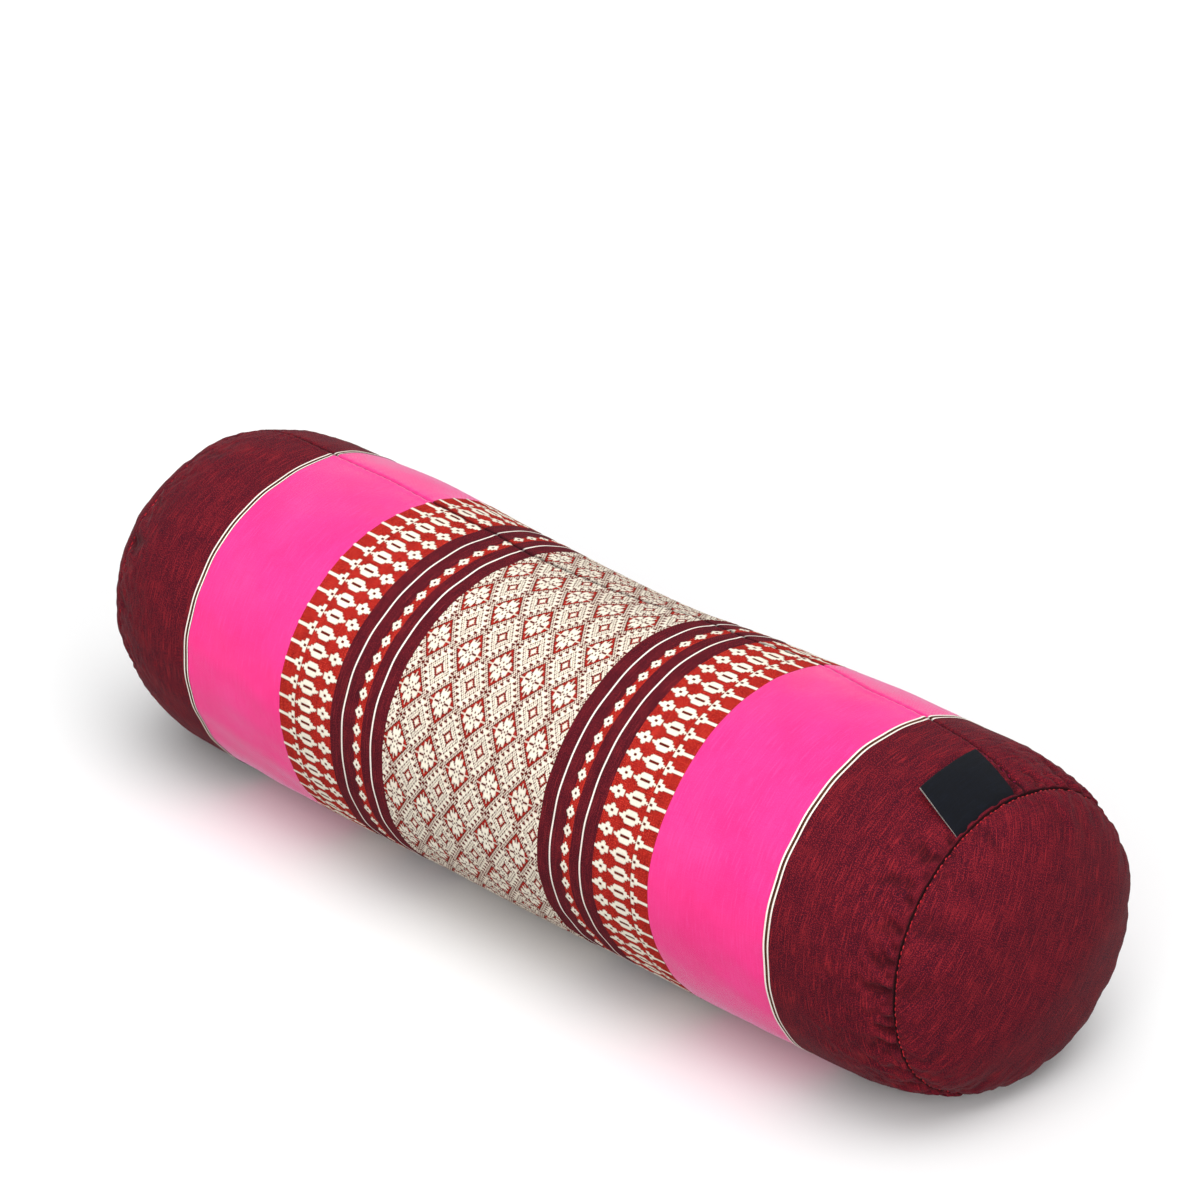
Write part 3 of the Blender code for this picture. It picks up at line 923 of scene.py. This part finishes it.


# Painted shade on red ground beside raised cream yarn
RED_SHADE = (72, 18, 14)
MAROON = {
    "base": (95, 17, 31), "deep": (48, 9, 26), "bright": (170, 42, 48), "patch": 0.10,
    "amounts": (0.35, 0.42, 0.5), "sheen": 0.05,
}
mats = {
    "cream": yarn("cream_yarn", (255, 250, 232), (148, 86, 62), 0.62, 0.10, 0.8),
    "faint": yarn("faint_yarn", (250, 236, 212), (70, 18, 14), 0.62, 0.10, 0.5, dots=0.48),
    "hairline": yarn("hairline_yarn", (255, 248, 238), (190, 150, 130), 1.2, 0.12, 0.08, length=0.8),
    "red": cotton("red_ground", (188, 38, 30), (116, 18, 18), (232, 72, 54), 0.85,
                  amounts=(0.4, 0.3, 0.6), shade=RED_SHADE),
    # Painted shade: a darker red for the narrow gaps between raised cream yarns
    "deep": cotton("painted_shade_ground", (108, 24, 18), (72, 14, 12), (146, 44, 32), 0.5,
                   amounts=(0.4, 0.2, 0.3), shade=RED_SHADE),
    # The shade colours of these two are painted shade beside raised yarn
    "stripe": cotton("maroon_stripe", (92, 21, 32), (56, 12, 24), (146, 40, 46), 0.5,
                     amounts=(0.4, 0.4, 0.5), shade=(44, 8, 16)),
    "line_dark": cotton("dark_yarn", (84, 48, 34), (50, 26, 20), (130, 88, 60), 0.5, shade=(36, 16, 14)),
    # The pink's crease colour is painted shade in its seams
    "pink": cotton("pink_cotton", (255, 50, 142), (246, 34, 128), (255, 78, 164), 0.40, 0.03, (1.2, 0.1),
                   (0.5, 0.2, 0.2), gloss=0.4, sheen=0.9, tint=(1.0, 0.80, 0.97, 1.0),
                   crease=(196, 34, 112)),
    "sleeve": cotton("maroon_sleeve", **MAROON),
    "disc": cotton("maroon_disc", **MAROON, tilt=math.radians(33)),
    "lining": cotton("lining_cotton", (236, 230, 214), (214, 206, 186), (246, 242, 230)),
    "kapok": cotton("kapok_fibre", (238, 228, 200), (206, 190, 152), (250, 246, 230), 1.1),
    "thread": cotton("sewing_thread", (196, 40, 50), (140, 20, 30), (226, 74, 76), 0.25),
    "side_thread": cotton("side_thread", (150, 26, 66), (96, 14, 44), (190, 50, 96), 0.25),
    "label": cotton("label_satin", (7, 10, 17), (4, 5, 9), (16, 20, 30), 0.30, 0.3, gloss=0.15),
    "label_edge": cotton("label_edge", (226, 222, 214), (110, 110, 108), (248, 246, 240), 0.3),
}


def dress(piece, node, slot, fill=None, flat=None, held="stretched", rests_on="kapok_filling", area=None,
          trim=()):
    """Attach a piece to the body and hide the CAD node it stands for."""
    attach(piece, "root")
    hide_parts(node)
    if flat is not None:
        list(trim)
    return piece


def girth_at(x):
    return float(2 * np.pi * skin_radius(x))


def band(name, node, along, rows, materials, slot, cells=None, laps=4, trim=()):
    """One woven band of the cover, with a column of cells between each two places along the roll."""
    lift = 0.0
    # How much painted shade the side seam's crease gives each point
    marks = {"CreaseShade": side_crease_shade(*tube_places(along, rows))}
    if cells is not None:
        marks["Raised"] = raised_share(cells)
        lift = marks["Raised"] * YARN_LIFT
    first, last = along[0], along[-1]
    outer = tube_points(along, rows, lift)
    inner = tube_points(np.linspace(first, last, 9), rows, inset=CLOTH)
    piece = shell(name, outer, inner, along, materials, cells, laps, marks=marks)
    flat = (last - first, girth_at((first + last) / 2)) if last - first > 0.01 else None
    return dress(piece, node, slot, flat=flat, trim=trim)


SIDES = ((-1, "left"), (1, "right"))


def on_side(side, along):
    """Places of the right half, or those places turned over for the left half."""
    return along if side > 0 else -along[::-1]


def make_cover():
    woven = [mats["red"], mats["cream"], mats["deep"], mats["faint"]]
    striped = [mats["red"], mats["cream"], mats["stripe"], mats["hairline"]]
    lined = [mats["stripe"], mats["cream"], mats["line_dark"], mats["hairline"]]
    along = np.linspace(-X_CENTRE, X_CENTRE, CENTRE_COLUMNS + 1)
    band("centre_cloth", "centre_panel", along, CENTRE_ROWS, woven, "cream_weave", centre_weave(), 2)
    motif, line = motif_weave(), line_weave()
    motif_along = np.linspace(X_STRIPE, X_MOTIF, len(motif) + 1)
    line_along = np.linspace(X_PINK, X_LINE, len(line) + 1)
    pink_along = np.linspace(X_MOTIF, X_PINK, 41)
    for side, word in SIDES:
        stripe = stripe_weave(side)
        trim = []
        for name, node, along, slots, slot, cells in (
            ("stripe", "stripe_band", X_CENTRE + stripe_along(), striped, "maroon_stripe", stripe),
            ("motif", "motif_band", motif_along, woven, "red_motif", motif),
            ("line", "cream_line", line_along, lined, "cream_line", line),
            ("pink", "pink_band", pink_along, [mats["pink"]], "pink_cotton", None),
        ):
            cells = None if cells is None else cells[::side]
            piece = band(f"{name}_cloth_{word}", f"{node}_{word}", on_side(side, along), BAND_ROWS, slots,
                         slot, cells, trim=trim)
            trim = [piece] if name == "line" else []


END_ROWS = 684
SLEEVE_CUT = 0.0625
DISC_CUT = 2 * (SEAM_RADIUS + SEAM_ALLOWANCE) + 0.014
DISC_CUT_RADIUS = 0.0765

# The sleeve and the disc: name, where its cloth starts and how far it runs, and its flat size
END_PIECES = {
    False: ("sleeve", X_LINE, 0.062, {"flat": (SLEEVE_CUT, girth_at(0.2))}),
    True: ("disc", X_SEAM, 0.077, {"flat": (DISC_CUT, DISC_CUT), "area": math.pi * DISC_CUT_RADIUS ** 2}),
}


def make_ends():
    for side, word in SIDES:
        for disc, (kind, start, reach, cut) in END_PIECES.items():
            outer, crease = end_points(side, disc, END_ROWS)
            inner, _ = end_points(side, disc, END_ROWS, CLOTH)
            along = on_side(side, start + np.linspace(0, reach, len(outer)))
            piece = shell(f"{kind}_cloth_{word}", outer, inner, along, [mats[kind]],
                          closed_end=side if disc else 0, marks={"CreaseShade": crease})
            if disc:
                disc_cloth_map(piece)
            dress(piece, f"end_{kind}_{word}", "maroon_cotton", **cut)


def disc_cloth_map(piece):
    """A disc is cut flat, so its cloth runs straight across it, true to length from its middle outward."""
    mesh = piece.data
    corner = np.empty(len(mesh.loops), np.int32)
    mesh.loops.foreach_get("vertex_index", corner)
    co = vertex_places(mesh)
    flat = co[:, 1:] - (co[:, 1:].min(0) + co[:, 1:].max(0)) / 2
    radius = np.maximum(np.hypot(flat[:, 0], flat[:, 1]), 1e-6)
    turn = np.arctan2(np.maximum(np.abs(co[:, 0]) - X_SEAM, 0) / DISC_CROWN, radius / SEAM_RADIUS)
    turns = np.linspace(0, np.pi / 2, 200)
    steps = np.hypot(*(np.diff(profile) for profile in dome(turns)))
    lengths = np.concatenate([np.cumsum(steps[::-1])[::-1], [0]])
    uv = flat * (np.interp(turn, turns, lengths) / radius)[:, None]
    set_map(mesh.uv_layers["Cloth"], uv[corner])


# Places along a stitch and its thickness there
ROD_PLACES = np.array([0.0, 0.06, 0.2, 0.5, 0.8, 0.94, 1.0])
ROD_THICKNESS = np.array([0.15, 0.7, 1.0, 1.05, 1.0, 0.7, 0.15])


def rods(name, starts, ends, normals, radius, arch, material):
    """Many short rounded stitches in one mesh, each arched along its normal."""
    t = ROD_PLACES
    sides = 8
    spin = rounds(sides)[:, None]
    axis = ends - starts
    across = unit(np.cross(normals, axis))
    up = unit(np.cross(axis, across))
    centre = starts[:, None] + axis[:, None] * t[None, :, None]
    centre = centre + up[:, None] * (arch * np.sin(np.pi * t))[None, :, None]
    ring = across[:, None, None] * np.cos(spin) + up[:, None, None] * np.sin(spin)
    points = (centre[:, :, None] + ring * (radius * ROD_THICKNESS)[:, None, None]).reshape(-1, 3)
    count = len(starts)
    index = np.arange(len(points)).reshape(count, len(t), sides)
    nxt = next_rows(sides)
    low, high = index[:, :-1], index[:, 1:]
    faces = stack(low, low[..., nxt], high[..., nxt], high).reshape(-1, 4)
    caps = []
    for number, end in enumerate((0, -1)):
        pole = np.repeat(index.size + number * count + np.arange(count), sides).reshape(count, sides)
        cap = stack(index[:, end], index[:, end][:, nxt], pole)
        caps.append((cap[..., ::-1] if end == 0 else cap).reshape(-1, 3))
    points = np.concatenate([points, centre[:, 0], centre[:, -1]])
    caps = np.concatenate(caps)
    every = points[np.concatenate([faces.ravel(), caps.ravel()])]
    maps = {"Cloth": stack(every[:, 0], every[:, 1] + every[:, 2])}
    return make_object(name, points, faces, np.zeros(len(faces) + len(caps)), maps, [material], caps)


def surface_at(x, angle, lift=0.0, pleated=True):
    """A point of the cover between the end seams and its outward normal, for things laid on it."""
    step = 0.0002
    rise, reach = FILL[False]

    def at(px, pa):
        skin = skin_radius(px)
        stretch = np.hypot(1, (skin_radius(px + step) - skin_radius(px - step)) / (2 * step))
        swell = lumps(px, pa)
        for side in (-1, 1):
            away = np.maximum(X_SEAM - side * px, 0) * 1.12
            swell = swell + rise * np.exp(-away / reach)
            if pleated:
                swell = swell + fold_height(side, False, away, pa) - pleat_depth(side, False, away, pa)
        swell = swell * stretch
        radius = skin + swell + ripples(px, pa) - side_seam_depth(px, pa, skin) + lift * stretch
        return settle(px, pa, radius, skin + swell)

    here = at(x, angle)
    du = at(x + step, angle) - here
    dv = at(x, angle + step / CENTRE_RADIUS) - here
    return here, unit(np.cross(dv, du))


# Stitches: how many an end seam has, how far those of the side seam are apart, and for both seams how
# far they stand off the cloth, their radius and how far they are arched
END_STITCHES = 150
SIDE_STITCH_PITCH = 0.0031
END_STITCH_LIFT, END_STITCH_SHAPE = 0.00002, (0.00024, 0.00012)
SIDE_STITCH_LIFT, SIDE_STITCH_SHAPE = 0.00022, (0.00022, 0.0001)


def make_threads():
    """Stitches: small bright dashes on the disc side of both end seams, and along the side seam."""
    draw = np.random.default_rng(31)
    count = END_STITCHES
    for side, word in SIDES:
        angle = (np.arange(count) + draw.uniform(-0.25, 0.25, count)) * 2 * np.pi / count
        length = draw.uniform(0.9, 1.7, count) * MM / SEAM_RADIUS
        away = draw.uniform(0.45, 0.95, count) * MM
        start, normals = disc_at(side, away, angle - length / 2, END_STITCH_LIFT)
        end, _ = disc_at(side, away + 0.15 * MM, angle + length / 2, END_STITCH_LIFT)
        piece = rods(f"end_stitches_{word}", start, end, normals, *END_STITCH_SHAPE, mats["thread"])
        dress(piece, f"end_seam_thread_{word}", "thread")
    x = np.arange(-X_SEAM + 0.004, X_SEAM - 0.004, SIDE_STITCH_PITCH)
    x = x + draw.uniform(-0.5, 0.5, len(x)) * MM
    half = draw.uniform(0.5, 0.85, len(x)) * MM
    start, normals = surface_at(x - half, seam_angle(x - half), SIDE_STITCH_LIFT)
    end, _ = surface_at(x + half, seam_angle(x + half), SIDE_STITCH_LIFT)
    piece = rods("side_stitches", start, end, normals, *SIDE_STITCH_SHAPE, mats["side_thread"])
    dress(piece, "side_seam_thread", "thread")


def disc_at(side, away, angle, lift):
    """Points and outward normals on an end disc, by distance from its seam and angle."""
    x, radius, normal, distance = end_profile(True)
    x, radius, nx, nr = (np.interp(away, distance, value) for value in (x, radius, *normal.T))
    outward = fold_height(side, True, away, angle) - pleat_depth(side, True, away, angle)
    outward = outward + lumps(side * x, angle) + lift
    radius = radius + nr * outward
    points = settle(side * (x + nx * outward), angle, radius, radius)
    return points, stack(side * nx, nr * np.cos(angle), nr * np.sin(angle))


# The label: its ribbon laid flat, half its thickness, and how its root and fold run from one side of
# it to the other, as a start and a change in degrees round the roll and in metres along it
LABEL_SIZE = (0.033, 0.056)
LABEL_HALF = 0.00018
LABEL_ROOT = (87.5, 28.7)
LABEL_FOLD = (83.6, 26.8)
LABEL_FOLD_X = (0.2012, 0.0038)
LABEL_ROOT_X = X_SEAM - 0.0004


def make_label():
    """A folded loop of black satin ribbon, rooted in the end seam and lifting off the sleeve."""
    across = 36
    v = np.linspace(0, 1, across + 1)
    root_angle, fold_angle = (np.radians(first + turn * v) for first, turn in (LABEL_ROOT, LABEL_FOLD))
    fold_x = LABEL_FOLD_X[0] + LABEL_FOLD_X[1] * v
    leaf = 31
    share = np.concatenate([np.linspace(0, 1, leaf), [1.012, 1.02, 1.012], np.linspace(1, 0, leaf)])[:, None]
    upper = np.concatenate([np.ones(leaf), [0.85, 0.5, 0.15], np.zeros(leaf)])[:, None]
    x = LABEL_ROOT_X + (fold_x - LABEL_ROOT_X) * share
    angle = root_angle + (fold_angle - root_angle) * share
    s = np.clip(share, 0, 1)
    rise = 0.0007 + (0.0008 + 0.0024 * v ** 1.5) * ease(s * 0.9)
    rise = rise + 0.0007 * np.sin(np.pi * s) * np.sin(np.pi * v) - 0.0022 * np.exp(-s / 0.03)
    gap = 0.0006 + 0.0006 * v ** 3
    points, _ = surface_at(x, angle, rise + gap * upper * (0.3 + 0.7 * ease(s * 3)), False)
    normal = unit(np.cross(np.gradient(points, axis=1), np.gradient(points, axis=0)))
    sheets = [(points + normal * side * LABEL_HALF).reshape(-1, 3) for side in (1, -1)]
    steps = len(share)
    a = np.arange(steps * (across + 1)).reshape(steps, across + 1)
    b = a + a.size
    faces = [stack(*corners).reshape(-1, 4) for corners in (
        (a[:-1, :-1], a[:-1, 1:], a[1:, 1:], a[1:, :-1]),
        (b[:-1, :-1], b[1:, :-1], b[1:, 1:], b[:-1, 1:]),
        (a[0, 1:], a[0, :-1], b[0, :-1], b[0, 1:]),
        (a[-1, :-1], a[-1, 1:], b[-1, 1:], b[-1, :-1]),
        (a[:-1, 0], a[1:, 0], b[1:, 0], b[:-1, 0]),
        (a[1:, -1], a[:-1, -1], b[:-1, -1], b[1:, -1]),
    )]
    dark = sum(len(part) for part in faces[:4])
    faces = np.concatenate(faces)
    slots = (np.arange(len(faces)) >= dark).astype(int)
    places = np.meshgrid(np.arange(steps) * 0.0008, v * LABEL_SIZE[0], indexing="ij")
    uv = stack(*(np.tile(place.ravel(), 2) for place in places))
    piece = make_object("label_ribbon", np.concatenate(sheets), faces, slots, {"Cloth": uv[faces.ravel()]},
                        [mats["label"], mats["label_edge"]])
    dress(piece, "label", "label_black", flat=LABEL_SIZE, held="folded", rests_on="sleeve_cloth_right")


# The bag inside the cover: its gap to the cover's outside, its own cloth, its dip at the end seams, and
# how lumpy its tube, its discs and the kapok are
BAG_GAP = CLOTH + 0.0014
BAG_CLOTH = 0.0005
KAPOK_GAP = BAG_GAP + 0.0010
BAG_DIP, BAG_DIP_REACH = 0.0066, 0.004
TUBE_LUMPS, DISC_LUMPS, KAPOK_LUMPS = 0.4, 0.3, 0.8
BAG_ROWS = 228
BAG_DISC = 0.138


def make_inside():
    """The cotton bag and the kapok that fill the cover."""
    inner_lumps = waves(41, 40, 0.0004, 22, 0.012)
    angle = rounds(BAG_ROWS)
    along = np.linspace(-X_SEAM + 0.0002, X_SEAM - 0.0002, 150)

    def tube(inset, amount):
        x = along[:, None]
        skin = skin_radius(x)
        dip = BAG_DIP * np.exp(-(X_SEAM - np.abs(x)) / BAG_DIP_REACH)
        radius = skin - inset - dip + lumps(x, angle) + amount * inner_lumps(x, angle)
        return settle(x, angle, radius, skin + lumps(x, angle))

    def cap(side, inset, amount):
        turn = np.linspace(0.0, np.pi / 2 - 0.012, 40)[:, None]
        dip = BAG_DIP * np.exp(-turn * 0.045 / BAG_DIP_REACH)
        x = X_SEAM + 0.0003 + (DISC_CROWN - inset) * np.sin(turn)
        radius = (SEAM_RADIUS - inset) * np.cos(turn) - dip * np.cos(turn)
        x = x + amount * inner_lumps(x, angle) * np.sin(turn)
        if side < 0:
            x, radius = -x[::-1], radius[::-1]
        x, radius = np.broadcast_arrays(x, radius)
        return settle(x, angle, radius, radius)

    lining = [mats["lining"]]
    outer, inner = (tube(gap, TUBE_LUMPS) for gap in (BAG_GAP, BAG_GAP + BAG_CLOTH))
    piece = shell("lining_cloth", outer, inner, along, lining)
    dress(piece, "lining_tube", "lining", flat=(2 * X_SEAM, girth_at(0.0)))
    for side, word in SIDES:
        outer, inner = (cap(side, gap, DISC_LUMPS) for gap in (BAG_GAP, BAG_GAP + BAG_CLOTH))
        reach = on_side(side, np.linspace(X_SEAM, X_SEAM + 0.07, len(outer)))
        piece = shell(f"lining_end_{word}", outer, inner, reach, lining, closed_end=side)
        dress(piece, f"lining_disc_{word}", "lining", flat=(BAG_DISC, BAG_DISC),
              area=math.pi * (BAG_DISC / 2) ** 2)
    kapok = (KAPOK_GAP, KAPOK_LUMPS)
    body = np.concatenate([cap(-1, *kapok), tube(*kapok), cap(1, *kapok)])
    _, faces, tris = capsule(len(body), BAG_ROWS)
    points = np.concatenate([body.reshape(-1, 3), [body[0].mean(0), body[-1].mean(0)]])
    every = points[np.concatenate([faces.ravel(), tris.ravel()])]
    uv = stack(every[:, 0], np.arctan2(every[:, 2] - 0.07, every[:, 1]) * 0.07)
    piece = make_object("kapok_filling", points, faces, np.zeros(len(faces) + len(tris)), {"Cloth": uv},
                        [mats["kapok"]], tris)
    dress(piece, "kapok_fill", "kapok", fill=0.85)


make_inside()
make_cover()
make_ends()
make_threads()
make_label()


# Floor, light and camera

FLOOR_SEEN = (0.92, 0.92, 0.92, 1.0)
FLOOR_BOUNCE = (0.32, 0.32, 0.32, 1.0)
FLOOR_HALF = 12.0
WORLD_LIGHT = 0.04


def make_stage():
    """A wide plain floor, which looks near white but sends little light back up."""
    mesh = bpy.data.meshes.new("floor")
    corners = [(x * FLOOR_HALF, y * FLOOR_HALF, 0) for x, y in ((-1, -1), (1, -1), (1, 1), (-1, 1))]
    mesh.from_pydata(corners, [], [(0, 1, 2, 3)])
    floor = add_object("floor", mesh)
    n = Nodes(bpy.data.materials.new("floor_white"))
    diffuse = n.add("BsdfDiffuse", {"Color": n.mix(n.seen(), FLOOR_BOUNCE, FLOOR_SEEN)})
    n.put(n.tree.nodes["Material Output"].inputs["Surface"], diffuse.outputs[0])
    mesh.materials.append(n.owner)


def make_world():
    """A white backdrop that sends next to no light."""
    world = bpy.data.worlds.new("studio")
    bpy.context.scene.world = world
    n = Nodes(world)
    strength = n.add("Mix", {"Factor": n.seen(), "A": WORLD_LIGHT, "B": 1.0}).outputs[0]
    back = n.tree.nodes["Background"].inputs
    n.put(back["Color"], (1, 1, 1, 1))
    n.put(back["Strength"], strength)


def soft_light(name, place, angle, strength):
    """A lamp whose light comes from a place, and looks so many degrees wide."""
    light = bpy.data.lights.new(name, "SUN")
    light.angle = math.radians(angle)
    light.energy = strength
    obj = add_object(name, light)
    obj.location = place
    obj.rotation_euler = Vector(place).to_track_quat("Z", "Y").to_euler()


CAMERA_LENS = 161.15
CAMERA_PLACE = Vector((1.3831, -1.3727, 1.1315))
CAMERA_TARGET = Vector((0.0015, 0.0027, 0.1348))


def make_camera():
    """The photograph's camera, fitted to the band edges and the outline."""
    camera = bpy.data.cameras.new("camera")
    camera.lens = CAMERA_LENS
    camera.sensor_width = 36.0
    camera.clip_start = 0.05
    obj = add_object("camera", camera)
    obj.location = CAMERA_PLACE
    obj.rotation_euler = (CAMERA_TARGET - CAMERA_PLACE).to_track_quat("-Z", "Y").to_euler()
    bpy.context.scene.camera = obj


make_stage()
make_world()
soft_light("key", (0.5, -0.15, 1.55), 48, 1.07)
soft_light("fill", (0.6, -1.3, 1.18), 34, 0.83)
soft_light("low", (0.9, -1.9, 0.48), 32, 1.40)
soft_light("right", (1.6, -0.3, 0.83), 32, 0.86)
soft_light("top", (0.0, 0.0, 1.6), 77, 1.45)
make_camera()
bpy.context.scene.view_settings.view_transform = "Standard"
